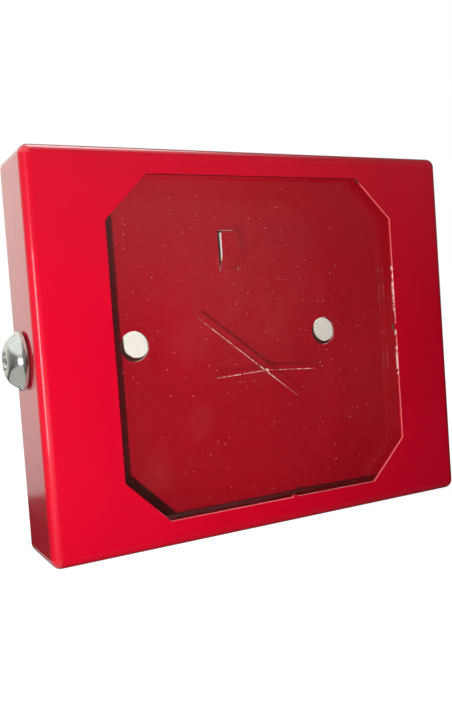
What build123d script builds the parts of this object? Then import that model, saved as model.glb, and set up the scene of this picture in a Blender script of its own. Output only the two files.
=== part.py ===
from build123d import *
from math import atan2, tan
import os

# Break glass key box for one emergency key, in millimetres.
# Origin: centre of the back face, where it lies on the wall. +X right, +Y into the wall, +Z up.
# The front faces -Y, so the plane at height h in front of the wall is Plane.XZ.offset(h).

os.makedirs("parts", exist_ok=True)

# ---- cover: pressed steel front with a skirt on its four sides ----
cover_width = 150.0
cover_height = 120.0
cover_depth = 25.0  # wall to front face
cover_sheet = 1.2
wall_gap = 0.3  # wall to the skirt's free edge
fold_radius = 3.0  # outer radius between front and skirt
corner_radius = 3.0  # outer radius of the skirt's four corners
window_side_margin = 23.0  # left and right of the window
window_top_margin = 8.0  # above and below it
window_cut = 13.6  # leg of the window's cut corners
window_corner_radius = 0.6
side_stub_radius = 1.1  # stub left by cutting, on the window's right edge
side_stub_rise = 0.8
bottom_stub_radius = 0.8  # the same on the bottom edge
bottom_stub_shift = 6.0

# ---- back tray: back plate with four folded flanges inside the skirt ----
tray_sheet = 1.2
tray_side_gap = 1.0  # skirt to flange, left and right: room for the swing
tray_top_gap = 0.5  # skirt to flange, top and bottom
flange_height = 16.0
flange_corner_radius = 2.0
bend_radius = 1.5  # inner radius of the tray's bends
corner_notch = 3.6  # open square at each corner of the folded blank
wall_hole_radius = 5.0
wall_hole_spacing = 74.0
wall_hole_rise = 0.8

# ---- key hook, lanced from the back plate ----
hook_root = 24.0  # height of its root above the centre
hook_shift = -0.3
hook_length = 13.5
hook_width = 6.4
hook_tip_radius = 0.6
hook_raise = 3.1  # plate's front face to the front face of the hook's upright part
hook_ramp = 4.0  # height over which it rises
hook_bend_radius = 2.0  # on its centre line
hook_slit = 0.55

# ---- swing tongues, lanced from the tray's right flange, and their slots in the skirt ----
tongue_length = 12.0  # along Z
tongue_spacing = 64.0
tongue_height = 5.2  # swing axis above the wall
tongue_bend_radius = 1.0
lance_length = 1.9  # opening behind the tongue
lance_gap = 0.5  # slit at each end of the tongue
slot_gap = 0.7  # tongue to slot
slot_end_gap = 0.6

# ---- security screw, washer and clinch nut in the left wall ----
screw_rise = -0.4
screw_height = 9.8  # axis above the wall
screw_radius = 3.95
screw_length = 12.0
screw_chamfer = 0.6
flange_radius = 8.8  # flange round the head's foot
flange_edge = 0.8
flange_slope = 0.5  # rise from the flange's edge to the dome's foot
dome_radius = 7.9  # at its foot
dome_height = 3.5
dome_arc_radius = 5.5
crown_radius = 3.5  # flat round the recess
recess_radius = 3.2  # centre to the lobes' ends
recess_lobe_radius = 0.75
recess_depth = 2.4
recess_pin_radius = 1.1
recess_pin_drop = 0.5  # dome's top to the pin's end
washer_radius = 8.2
washer_thickness = 0.5
washer_bore_gap = 0.3
skirt_washer_gap = 0.15  # room for the skirt as the cover swings
notch_gap = 0.45  # shank to the notch in the skirt
nut_radius = 5.8
nut_length = 5.5
nut_bore_gap = 0.05
nut_spigot_radius = 5.0
nut_spigot_gap = 0.02

# ---- pane, foam strips and the score on the glass ----
pane_thickness = 2.0
pane_top_gap = 1.8  # pane's edge to the skirt, top and bottom
pane_corner_cut = 1.5
gasket_thickness = 2.0
gasket_edge_gap = 1.0  # left and right strips to the pane's edge
gasket_fold_gap = 0.3  # top and bottom strips to the fold's start
gasket_side_width = 5.5
gasket_top_width = 3.2
score_width = 0.35
score_depth = 0.2
score_crossing = (0.4, -9.9)
score_long_start = (-23.5, 8.8)
score_long_end = (11.6, -19.5)
score_short_start = (-19.8, -10.9)
score_short_end = (19.0, -11.0)

# ---- clips, studs, washers and nuts that hold the pane ----
clip_sheet = 1.0
clip_width = 12.0
clip_bend_radius = 1.0  # on the strip's centre line
clip_overlap = 4.0  # foot on the pane
clip_edge_gap = 1.0  # pane's edge to the riser
clip_fold_gap = 0.3  # base's end to the fold's start
clip_end_margin = 22.0  # clip's centre to the cover's top or bottom edge
stud_fold_gap = 3.9  # stud's axis to the fold's start
stud_setback = 5.1  # riser's centre line to the stud's axis
stud_radius = 2.0
stud_tip_length = 0.6  # stud beyond its nut
stud_hole_gap = 0.2
stud_washer_radius = 4.0
stud_washer_thickness = 0.7
stud_nut_radius = 4.04  # across corners
stud_nut_thickness = 3.2
stud_nut_gap = 0.05

# ---- places worked out from the sizes above ----
cover_left = -cover_width / 2
cover_right = cover_width / 2
cover_inner = cover_depth - cover_sheet  # height of the front sheet's inner face
window_width = cover_width - 2 * window_side_margin
window_height = cover_height - 2 * window_top_margin
tray_width = cover_width - 2 * (cover_sheet + tray_side_gap)
tray_height = cover_height - 2 * (cover_sheet + tray_top_gap)
fold_start_x = cover_right - fold_radius
fold_start_z = cover_height / 2 - fold_radius
stud_x = fold_start_x - stud_fold_gap
riser_x = stud_x - stud_setback
pane_width = 2 * (riser_x - clip_sheet / 2 - clip_edge_gap)
pane_height = cover_height - 2 * (cover_sheet + pane_top_gap)
pane_front = cover_inner - gasket_thickness
pane_back = pane_front - pane_thickness
swing_x = cover_right - tray_sheet / 2  # swing axis, in the tongue's rounded end
swing_plane = Plane(origin=(swing_x, -tongue_height, 0))
head_under = cover_left - skirt_washer_gap - washer_thickness
flange_top = head_under - flange_edge
dome_foot = flange_top - flange_slope
head_top = dome_foot - dome_height
screw_plane = Plane(origin=(0, -screw_height, screw_rise))
screw_axis = Axis((0, -screw_height, screw_rise), (1, 0, 0))
stud_base = cover_inner - clip_sheet  # height of the clips' seating face
stud_washer_top = stud_base - stud_washer_thickness
stud_nut_top = stud_washer_top - stud_nut_thickness
stud_length = cover_inner - stud_nut_top + stud_tip_length
clip_rise = cover_height / 2 - clip_end_margin
stud_places = [(x, z) for x in (-stud_x, stud_x) for z in (-clip_rise, clip_rise)]


def across_wall(x):
    """Plane across the screw's axis, with +X as its normal and the axis at its origin."""
    return Plane(origin=(x, -screw_height, screw_rise), x_dir=(0, 1, 0), z_dir=(1, 0, 0))


# ---- cover ----
with BuildPart() as cover:
    with BuildSketch(Plane.XZ.offset(wall_gap)):
        RectangleRounded(cover_width, cover_height, corner_radius)
    extrude(amount=cover_depth - wall_gap)
    fillet(cover.faces().sort_by(Axis.Y)[0].edges(), fold_radius)
    offset(amount=-cover_sheet, openings=cover.faces().sort_by(Axis.Y)[-1])

    # window, with the two stubs that cutting left on its edge
    with BuildSketch(Plane.XZ.offset(cover_inner)):
        Rectangle(window_width, window_height)
        chamfer(vertices(), window_cut)
        fillet(vertices(), window_corner_radius)
        with Locations((window_width / 2, side_stub_rise)):
            Circle(side_stub_radius, mode=Mode.SUBTRACT)
        with Locations((bottom_stub_shift, -window_height / 2)):
            Circle(bottom_stub_radius, mode=Mode.SUBTRACT)
    extrude(amount=cover_sheet, mode=Mode.SUBTRACT)

    # notch for the screw's shank, open at the skirt's free edge
    with BuildSketch(across_wall(cover_left)):
        Circle(screw_radius + notch_gap)
        with Locations((screw_height / 2, 0)):
            Rectangle(screw_height, 2 * (screw_radius + notch_gap))
    extrude(amount=cover_sheet, mode=Mode.SUBTRACT)

    # slots for the tray's swing tongues
    with BuildSketch(Plane.YZ.offset(cover_right - cover_sheet)):
        with Locations((-tongue_height, 0)):
            with GridLocations(0, tongue_spacing, 1, 2):
                Rectangle(tray_sheet + 2 * slot_gap, tongue_length + 2 * slot_end_gap)
    extrude(amount=cover_sheet, mode=Mode.SUBTRACT)

cover.part.label = "cover"
export_step(cover.part, "parts/cover.step")

# ---- key hook: cut to its outline, then to its bent section ----
with BuildSketch(Plane.XZ) as hook_outline:
    with Locations((hook_shift, hook_root + hook_length / 2)):
        Rectangle(hook_width, hook_length)
    fillet(vertices().group_by(Axis.Y)[-1], hook_tip_radius)

hook_slope = atan2(hook_raise, hook_ramp)
hook_bend_start = hook_root + hook_bend_radius * tan(hook_slope / 2)
hook_upright_y = -tray_sheet / 2 - hook_raise
with BuildPart() as hook:
    extrude(hook_outline.sketch, amount=hook_raise + tray_sheet)
    with BuildSketch(Plane.YZ):
        with BuildLine():
            FilletPolyline(
                (-tray_sheet / 2, hook_root - tray_sheet),
                (-tray_sheet / 2, hook_bend_start),
                (hook_upright_y, hook_bend_start + hook_ramp),
                (hook_upright_y, hook_root + hook_length + tray_sheet),
                radius=hook_bend_radius,
            )
        trace(line_width=tray_sheet)
    extrude(amount=hook_width, both=True, mode=Mode.INTERSECT)

# ---- back tray ----
with BuildPart() as back_tray:
    with BuildSketch(Plane.XZ):
        Rectangle(tray_width, tray_height)
    extrude(amount=flange_height)
    fillet(back_tray.faces().sort_by(Axis.Y)[-1].edges(), bend_radius + tray_sheet)
    offset(amount=-tray_sheet, openings=back_tray.faces().sort_by(Axis.Y)[0])

    # open corners, and the flanges' rounded free corners
    with BuildSketch(Plane.XZ):
        with GridLocations(tray_width - corner_notch, tray_height - corner_notch, 2, 2):
            Rectangle(corner_notch, corner_notch)
    extrude(amount=flange_height, mode=Mode.SUBTRACT)
    free_edges = back_tray.faces().filter_by(Axis.Y).group_by(Axis.Y)[0].edges()
    fillet(free_edges.filter_by(lambda edge: edge.length < tray_sheet * 1.01), flange_corner_radius)

    # wall holes
    with BuildSketch(Plane.XZ.offset(tray_sheet)):
        with Locations((0, wall_hole_rise)):
            with GridLocations(wall_hole_spacing, 0, 2, 1):
                Circle(wall_hole_radius)
    extrude(amount=-tray_sheet, mode=Mode.SUBTRACT)

    # hook, with the slit round it that stops at its root
    with BuildSketch(Plane.XZ.offset(tray_sheet)):
        add(hook_outline.sketch_local)
        offset(amount=hook_slit)
        with Locations((hook_shift, hook_root - hook_width / 2)):
            Rectangle(2 * hook_width, hook_width, mode=Mode.SUBTRACT)
    extrude(amount=-tray_sheet, mode=Mode.SUBTRACT)
    add(hook.part)

    # left flange: hole for the clinch nut
    with BuildSketch(across_wall(-tray_width / 2)):
        Circle(nut_spigot_radius + nut_spigot_gap)
    extrude(amount=tray_sheet, mode=Mode.SUBTRACT)

    # right flange: lanced openings, then the tongues bent out through the skirt
    lance_width = lance_length + tray_sheet
    with BuildSketch(Plane.YZ.offset(tray_width / 2 - tray_sheet)):
        with Locations((-tongue_height + lance_length / 2, 0)):
            with GridLocations(0, tongue_spacing, 1, 2):
                Rectangle(lance_width, tongue_length + 2 * lance_gap)
    extrude(amount=tray_sheet, mode=Mode.SUBTRACT)
    tongue_reach = swing_x - tray_width / 2 + tray_sheet
    for rise in (-tongue_spacing / 2, tongue_spacing / 2):
        with BuildSketch(swing_plane.offset(rise)):
            Circle(tray_sheet / 2)
            with Locations((-tongue_reach / 2, 0)):
                Rectangle(tongue_reach, tray_sheet)
                fillet(vertices().sort_by(Axis.X)[:2].sort_by(Axis.Y)[-1:], tongue_bend_radius)
        extrude(amount=tongue_length / 2, both=True)

back_tray.part.label = "back_tray"
export_step(back_tray.part, "parts/back_tray.step")

# ---- clinch nut, pressed into the left flange from inside ----
with BuildPart() as screw_nut:
    flange_inside = -tray_width / 2 + tray_sheet
    with BuildSketch(across_wall(flange_inside)):
        Circle(nut_radius)
    extrude(amount=nut_length)
    with BuildSketch(across_wall(-tray_width / 2)):
        Circle(nut_spigot_radius)
    extrude(amount=tray_sheet)
    with BuildSketch(across_wall(-tray_width / 2)):
        Circle(screw_radius + nut_bore_gap)
    extrude(amount=tray_sheet + nut_length, mode=Mode.SUBTRACT)

screw_nut.part.label = "screw_nut"
export_step(screw_nut.part, "parts/screw_nut.step")

# ---- washer under the screw's head ----
with BuildPart() as screw_washer:
    with BuildSketch(across_wall(head_under)):
        Circle(washer_radius)
        Circle(screw_radius + washer_bore_gap, mode=Mode.SUBTRACT)
    extrude(amount=washer_thickness)

screw_washer.part.label = "screw_washer"
export_step(screw_washer.part, "parts/screw_washer.step")

# ---- security screw: domed head on a flange, six-lobe recess with a pin, plain shank ----
with BuildPart() as side_screw:
    with BuildSketch(screw_plane):
        with BuildLine():
            flange = Polyline(
                (head_under, 0),
                (head_under, flange_radius),
                (flange_top, flange_radius),
                (dome_foot, dome_radius),
            )
            dome = RadiusArc(flange @ 1, (head_top, crown_radius), -dome_arc_radius)
            Polyline(dome @ 1, (head_top, 0), flange @ 0)
        make_face()
    revolve(axis=screw_axis)
    with BuildSketch(across_wall(head_top)):
        Circle(recess_radius - recess_lobe_radius)
        with PolarLocations(recess_radius - recess_lobe_radius, 6):
            Circle(recess_lobe_radius)
    extrude(amount=recess_depth, mode=Mode.SUBTRACT)
    with BuildSketch(across_wall(head_top + recess_pin_drop)):
        Circle(recess_pin_radius)
    extrude(amount=recess_depth - recess_pin_drop)
    with BuildSketch(across_wall(head_under)):
        Circle(screw_radius)
    extrude(amount=screw_length)
    chamfer(side_screw.faces().sort_by(Axis.X)[-1].edges(), screw_chamfer)

side_screw.part.label = "side_screw"
export_step(side_screw.part, "parts/side_screw.step")

# ---- pane, with the cross scored into its front ----
with BuildPart() as pane:
    with BuildSketch(Plane.XZ.offset(pane_back)):
        Rectangle(pane_width, pane_height)
        chamfer(vertices(), pane_corner_cut)
    extrude(amount=pane_thickness)
    with BuildSketch(Plane.XZ.offset(pane_front)):
        with BuildLine():
            Line(score_long_start, score_crossing)
            Line(score_crossing, score_long_end)
            Line(score_short_start, score_crossing)
            Line(score_crossing, score_short_end)
        trace(line_width=score_width)
    extrude(amount=-score_depth, mode=Mode.SUBTRACT)

pane.part.label = "pane"
export_step(pane.part, "parts/pane.step")


# ---- foam strips between the cover's front and the pane ----
def make_gasket(name, x, z, width, height):
    """One strip, centred at (x, z) behind the cover's front."""
    with BuildPart() as gasket:
        with BuildSketch(Plane.XZ.offset(pane_front)):
            with Locations((x, z)):
                Rectangle(width, height)
        extrude(amount=gasket_thickness)
    gasket.part.label = name
    export_step(gasket.part, f"parts/{name}.step")


side_strip_x = (pane_width - gasket_side_width) / 2 - gasket_edge_gap
top_strip_z = fold_start_z - gasket_fold_gap - gasket_top_width / 2
top_strip_width = 2 * side_strip_x + gasket_side_width
side_strip_height = 2 * top_strip_z - gasket_top_width
make_gasket("gasket_left", -side_strip_x, 0, gasket_side_width, side_strip_height)
make_gasket("gasket_right", side_strip_x, 0, gasket_side_width, side_strip_height)
make_gasket("gasket_top", 0, top_strip_z, top_strip_width, gasket_top_width)
make_gasket("gasket_bottom", 0, -top_strip_z, top_strip_width, gasket_top_width)


# ---- Z clips: base on the cover's front, foot on the pane's back ----
def make_clip(name, side, rise):
    """One clip on side -1 (left) or 1 (right), centred at the height rise."""
    base_y = -cover_inner + clip_sheet / 2
    foot_y = -pane_back + clip_sheet / 2
    with BuildPart() as clip:
        with BuildSketch(Plane.XY.offset(rise)):
            with BuildLine():
                FilletPolyline(
                    (side * (fold_start_x - clip_fold_gap), base_y),
                    (side * riser_x, base_y),
                    (side * riser_x, foot_y),
                    (side * (pane_width / 2 - clip_overlap), foot_y),
                    radius=clip_bend_radius,
                )
            trace(line_width=clip_sheet)
        extrude(amount=clip_width / 2, both=True)
        with BuildSketch(Plane.XZ.offset(stud_base)):
            with Locations((side * stud_x, rise)):
                Circle(stud_radius + stud_hole_gap)
        extrude(amount=clip_sheet, mode=Mode.SUBTRACT)
    clip.part.label = name
    export_step(clip.part, f"parts/{name}.step")


make_clip("clip_top_left", -1, clip_rise)
make_clip("clip_top_right", 1, clip_rise)
make_clip("clip_bottom_left", -1, -clip_rise)
make_clip("clip_bottom_right", 1, -clip_rise)

# ---- weld studs on the cover's inner face ----
with BuildPart() as clip_studs:
    with BuildSketch(Plane.XZ.offset(cover_inner)):
        with Locations(stud_places):
            Circle(stud_radius)
    extrude(amount=-stud_length)

clip_studs.part.label = "clip_studs"
export_step(clip_studs.part, "parts/clip_studs.step")

# ---- washers on the clips ----
with BuildPart() as clip_washers:
    with BuildSketch(Plane.XZ.offset(stud_washer_top)):
        with Locations(stud_places):
            Circle(stud_washer_radius)
            Circle(stud_radius + stud_hole_gap, mode=Mode.SUBTRACT)
    extrude(amount=stud_washer_thickness)

clip_washers.part.label = "clip_washers"
export_step(clip_washers.part, "parts/clip_washers.step")

# ---- nuts on the washers ----
with BuildPart() as clip_nuts:
    with BuildSketch(Plane.XZ.offset(stud_nut_top)):
        with Locations(stud_places):
            RegularPolygon(stud_nut_radius, 6)
            Circle(stud_radius + stud_nut_gap, mode=Mode.SUBTRACT)
    extrude(amount=stud_nut_thickness)

clip_nuts.part.label = "clip_nuts"
export_step(clip_nuts.part, "parts/clip_nuts.step")
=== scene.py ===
import math
import random

import bmesh
import bpy
from mathutils import Matrix, Vector


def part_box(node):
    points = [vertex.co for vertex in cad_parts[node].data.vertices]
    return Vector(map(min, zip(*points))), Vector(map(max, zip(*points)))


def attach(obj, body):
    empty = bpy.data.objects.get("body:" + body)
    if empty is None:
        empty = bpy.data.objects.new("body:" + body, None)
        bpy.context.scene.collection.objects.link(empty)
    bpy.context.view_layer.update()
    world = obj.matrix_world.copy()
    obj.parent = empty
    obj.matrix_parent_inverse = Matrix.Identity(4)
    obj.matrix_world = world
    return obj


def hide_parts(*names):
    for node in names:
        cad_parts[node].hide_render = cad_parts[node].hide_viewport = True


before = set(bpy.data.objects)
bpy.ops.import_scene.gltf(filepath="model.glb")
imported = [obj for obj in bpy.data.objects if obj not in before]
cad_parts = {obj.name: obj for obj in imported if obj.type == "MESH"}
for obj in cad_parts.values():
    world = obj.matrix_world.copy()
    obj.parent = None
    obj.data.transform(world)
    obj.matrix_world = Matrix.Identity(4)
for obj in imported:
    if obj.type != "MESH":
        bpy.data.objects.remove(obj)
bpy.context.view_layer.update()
print("frame loaded:", len(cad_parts), "nodes")

mm = 0.001
hair = 0.01 * mm
coverLow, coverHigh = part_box("cover")
paneLow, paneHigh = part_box("pane")
trayLow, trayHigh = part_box("back_tray")
screwLow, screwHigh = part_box("side_screw")
screwCentre = (screwLow + screwHigh) / 2
coverSheet = 1.2 * mm
screwBody = "screw"


def newMaterial(name):
    material = bpy.data.materials.new(name)
    material.use_nodes = True
    material.node_tree.nodes.clear()
    return material, material.node_tree


def addNode(tree, kind, at, sockets=None, **values):
    # sockets holds, by name or number, a plain value or the output to link from
    node = tree.nodes.new(kind)
    node.location = at
    for key, value in values.items():
        setattr(node, key, value)
    for key, value in (sockets or {}).items():
        if isinstance(value, bpy.types.NodeSocket):
            tree.links.new(value, node.inputs[key])
        else:
            node.inputs[key].default_value = value
    return node


def mathNode(tree, operation, first, second, at, **values):
    sockets = {0: first, 1: second}
    return addNode(tree, "ShaderNodeMath", at, sockets, operation=operation, **values).outputs[0]


def smoothShare(tree, source, low, high, at):
    node = addNode(tree, "ShaderNodeMapRange", at, {
        "From Min": low, "From Max": high, "Value": source,
    }, interpolation_type="SMOOTHSTEP")
    return node.outputs[0]


def colourMix(tree, share, first, second, at, blend="MIX"):
    # share and colours may each be a socket or a plain value
    tones = [(*tone, 1) if isinstance(tone, tuple) else tone for tone in (first, second)]
    return addNode(tree, "ShaderNodeMix", at, {0: share, 6: tones[0], 7: tones[1]},
                   data_type="RGBA", blend_type=blend).outputs[2]


def dress(nodeName, material):
    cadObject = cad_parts[nodeName]
    cadObject.data.materials.clear()
    cadObject.data.materials.append(material)


def meshPiece(name, mesh, material, body):
    piece = bpy.data.objects.new(name, mesh)
    bpy.context.collection.objects.link(piece)
    mesh.materials.clear()
    mesh.materials.append(material)
    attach(piece, body)
    return piece


def finishedMesh(name, mesh):
    data = bpy.data.meshes.new(name)
    mesh.to_mesh(data)
    mesh.free()
    return data


def groupTree(name, inputs, outputs):
    tree = bpy.data.node_groups.new(name, "ShaderNodeTree")
    for label, kind, value in inputs:
        socket = tree.interface.new_socket(label, in_out="INPUT", socket_type=kind)
        if value is not None:
            socket.default_value = value
    for label, kind in outputs:
        tree.interface.new_socket(label, in_out="OUTPUT", socket_type=kind)
    groupIn = addNode(tree, "NodeGroupInput", (-900, 0))
    groupOut = addNode(tree, "NodeGroupOutput", (900, 0))
    return tree, groupIn, groupOut


dustLook = {"detail": 4.0, "roughness": 0.6, "hazeFrom": 0.38, "hazeTo": 0.72}


def buildDustGroup(look):
    # fine specks and a soft cloudy haze
    tree, groupIn, groupOut = groupTree(
        "dust",
        [
            ("Speck Scale", "NodeSocketFloat", 900.0),
            ("Speck Share", "NodeSocketFloat", 0.12),
            ("Haze Scale", "NodeSocketFloat", 25.0),
        ],
        [("Specks", "NodeSocketFloat"), ("Haze", "NodeSocketFloat")],
    )
    link = tree.links.new
    coords = addNode(tree, "ShaderNodeTexCoord", (-900, -250)).outputs["Object"]
    specks = addNode(tree, "ShaderNodeTexVoronoi", (-600, 150), {
        "Vector": coords, "Scale": groupIn.outputs["Speck Scale"],
    })
    small = mathNode(tree, "LESS_THAN", specks.outputs["Distance"], groupIn.outputs["Speck Share"],
                     (-380, 150))
    haze = addNode(tree, "ShaderNodeTexNoise", (-600, -200), {
        "Detail": look["detail"], "Roughness": look["roughness"], "Vector": coords,
        "Scale": groupIn.outputs["Haze Scale"],
    })
    soft = addNode(tree, "ShaderNodeMapRange", (-380, -200), {
        "From Min": look["hazeFrom"], "From Max": look["hazeTo"], "Value": haze.outputs["Fac"],
    })
    link(small, groupOut.inputs["Specks"])
    link(soft.outputs[0], groupOut.inputs["Haze"])
    return tree


def buildPeelGroup():
    # orange peel of a sprayed or powder coat: a slow swell and a fine grain
    tree, groupIn, groupOut = groupTree(
        "orangePeel",
        [
            ("Swell Scale", "NodeSocketFloat", 220.0),
            ("Grain Scale", "NodeSocketFloat", 1500.0),
            ("Grain Share", "NodeSocketFloat", 0.25),
        ],
        [("Height", "NodeSocketFloat"), ("Swell", "NodeSocketFloat")],
    )
    link = tree.links.new
    coords = addNode(tree, "ShaderNodeTexCoord", (-900, -250)).outputs["Object"]
    swell = addNode(tree, "ShaderNodeTexNoise", (-600, 150), {
        "Detail": 1.0, "Vector": coords, "Scale": groupIn.outputs["Swell Scale"],
    })
    grain = addNode(tree, "ShaderNodeTexNoise", (-600, -150), {
        "Detail": 0.0, "Vector": coords, "Scale": groupIn.outputs["Grain Scale"],
    })
    mixed = addNode(tree, "ShaderNodeMix", (-300, 0), {
        0: groupIn.outputs["Grain Share"], 2: swell.outputs["Fac"], 3: grain.outputs["Fac"],
    })
    link(mixed.outputs[0], groupOut.inputs["Height"])
    link(swell.outputs["Fac"], groupOut.inputs["Swell"])
    return tree


scuffLook = {
    "angles": (35.0, -62.0),  # degrees
    "patchScale": 45.0,
    "patchStep": 20.0,  # added for each further direction
    "patchShare": 0.62,
}


def buildScuffGroup(look):
    # short hair scratches in two directions, as a mask
    tree, groupIn, groupOut = groupTree(
        "scuffs",
        [
            ("Scale", "NodeSocketFloat", 60.0),
            ("Stretch", "NodeSocketFloat", 12.0),
            ("Share", "NodeSocketFloat", 0.03),
        ],
        [("Mask", "NodeSocketFloat")],
    )
    link = tree.links.new
    coords = addNode(tree, "ShaderNodeTexCoord", (-900, -250)).outputs["Object"]
    stretch = addNode(tree, "ShaderNodeCombineXYZ", (-700, 150), {
        0: groupIn.outputs["Stretch"], 1: 1.0, 2: 1.0,
    })
    masks = []
    for number, angle in enumerate(look["angles"]):
        turned = addNode(tree, "ShaderNodeMapping", (-700, -100 - 250 * number), {
            "Rotation": (0, math.radians(angle), 0), "Vector": coords,
        })
        scaled = addNode(tree, "ShaderNodeVectorMath", (-480, -100 - 250 * number), {
            0: turned.outputs[0], 1: stretch.outputs[0],
        }, operation="DIVIDE")
        cells = addNode(tree, "ShaderNodeTexVoronoi", (-260, -100 - 250 * number), {
            "Vector": scaled.outputs[0], "Scale": groupIn.outputs["Scale"],
        }, feature="DISTANCE_TO_EDGE")
        thin = mathNode(tree, "LESS_THAN", cells.outputs["Distance"], groupIn.outputs["Share"],
                        (-60, -100 - 250 * number))
        patches = addNode(tree, "ShaderNodeTexNoise", (-260, -400 - 250 * number), {
            "Scale": look["patchScale"] + look["patchStep"] * number, "Vector": coords,
        })
        some = mathNode(tree, "GREATER_THAN", patches.outputs["Fac"], look["patchShare"],
                        (-60, -400 - 250 * number))
        both = mathNode(tree, "MULTIPLY", thin, some, (140, -200 - 250 * number))
        masks.append(both)
    either = mathNode(tree, "MAXIMUM", masks[0], masks[1], (360, -250))
    link(either, groupOut.inputs["Mask"])
    return tree


dustGroup = buildDustGroup(dustLook)
peelGroup = buildPeelGroup()
scuffGroup = buildScuffGroup(scuffLook)


def placeGroup(tree, group, at, **values):
    node = addNode(tree, "ShaderNodeGroup", at)
    node.node_tree = group
    for label, value in values.items():
        node.inputs[label.replace("_", " ")].default_value = value
    return node


redCoat = {
    "colour": (0.585, 0.0006, 0.019),
    "deepColour": (0.525, 0.0005, 0.015),
    "dustColour": (0.78, 0.22, 0.22),
    "roughness": 0.22,
    "coatRoughness": 0.06,
    "roughnessLess": 0.04,  # how far the roughness swings down and up
    "roughnessMore": 0.06,
    "bumpStrength": 0.35,
    "bumpDistance": 0.00004,
    "speckScale": 700.0,
    "speckShare": 0.09,
    "hazeScale": 18.0,
    "dusty": 0.006,
}
# the tray's red is darker than the cover's as painted shade, for the dimmer light on the plate behind the
# pane
trayCoatShaded = dict(redCoat, colour=(0.485, 0.0006, 0.013), deepColour=(0.43, 0.0005, 0.011), dusty=0.06)
edgeCoat = dict(redCoat, dusty=0.05)


def buildRedCoat(name, look):
    material, tree = newMaterial(name)
    peel = placeGroup(tree, peelGroup, (-600, -300))
    dust = placeGroup(tree, dustGroup, (-600, 300), Speck_Scale=look["speckScale"],
                      Speck_Share=look["speckShare"], Haze_Scale=look["hazeScale"])
    shade = colourMix(tree, dust.outputs["Haze"], look["colour"], look["deepColour"], (-300, 100))
    dustShare = mathNode(tree, "MULTIPLY", dust.outputs["Specks"], look["dusty"], (-300, 400))
    dusted = colourMix(tree, dustShare, shade, look["dustColour"], (0, 150))
    rough = addNode(tree, "ShaderNodeMapRange", (-50, -150), {
        "To Min": look["roughness"] - look["roughnessLess"],
        "To Max": look["roughness"] + look["roughnessMore"], "Value": peel.outputs["Swell"],
    })
    bump = addNode(tree, "ShaderNodeBump", (200, -350), {
        "Strength": look["bumpStrength"], "Distance": look["bumpDistance"],
        "Height": peel.outputs["Height"],
    })
    shader = addNode(tree, "ShaderNodeBsdfPrincipled", (500, 0), {
        "Base Color": dusted, "Roughness": rough.outputs[0], "Normal": bump.outputs[0],
        "Coat Normal": bump.outputs[0], "Coat Weight": 1.0, "Coat Roughness": look["coatRoughness"],
    })
    addNode(tree, "ShaderNodeOutputMaterial", (800, 0), {0: shader.outputs[0]})
    return material


dress("cover", buildRedCoat("redCoatCover", redCoat))
dress("back_tray", buildRedCoat("redCoatTrayShaded", trayCoatShaded))
print("red coat done")


paneGlass = {
    "colour": (0.985, 0.992, 0.99),
    "roughness": 0.0,
    "ior": 1.49,
    "shadowTint": (0.96, 0.965, 0.96),
    "grooveShade": (0.02, 0.0, 0.0),
    "grooveHalfWidth": 0.29,  # mm
    "raggedScale": 1300.0,
    "fadeFrom": 0.7,  # in half widths off the middle of the groove
    "fadeTo": 1.2,
}

crossing = (0.4, -9.9)
score = {
    # x, z of both ends of each stroke, mm
    "strokes": [((-23.5, 8.8), (11.6, -19.5)), ((-19.8, -10.9), crossing), (crossing, (19.0, -11.0))],
    # the same lines as shadows, with how dark each one falls
    "shadows": [((-23.5, 8.8), crossing, 1.0), (crossing, (11.6, -19.5), 0.35),
                ((-19.8, -10.9), crossing, 0.4), (crossing, (19.0, -11.0), 0.75)],
    "width": 0.32,
    "height": 0.05,
    "steps": 110,
    "taperRate": 5.0,  # the nearer it is to an end, the thinner a stroke gets
    "tip": 0.1,
    "wander": 0.10,
    "gap": 0.004,  # in front of the pane
    "seed": 4,
    # the crushed star at the crossing
    "starRadius": 0.75,
    "starPoints": 14,
    "starReach": (0.45, 0.75),  # least share of the radius, and the random share on top
    "starHeight": 0.05,
    "starGap": 0.006,
    "colour": (0.95, 0.66, 0.62),
    "gapColour": (0.42, 0.03, 0.04),
    "chipScale": 700.0,
    "chipFrom": 0.38,
    "chipTo": 0.58,
    "roughness": 0.4,
}


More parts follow.
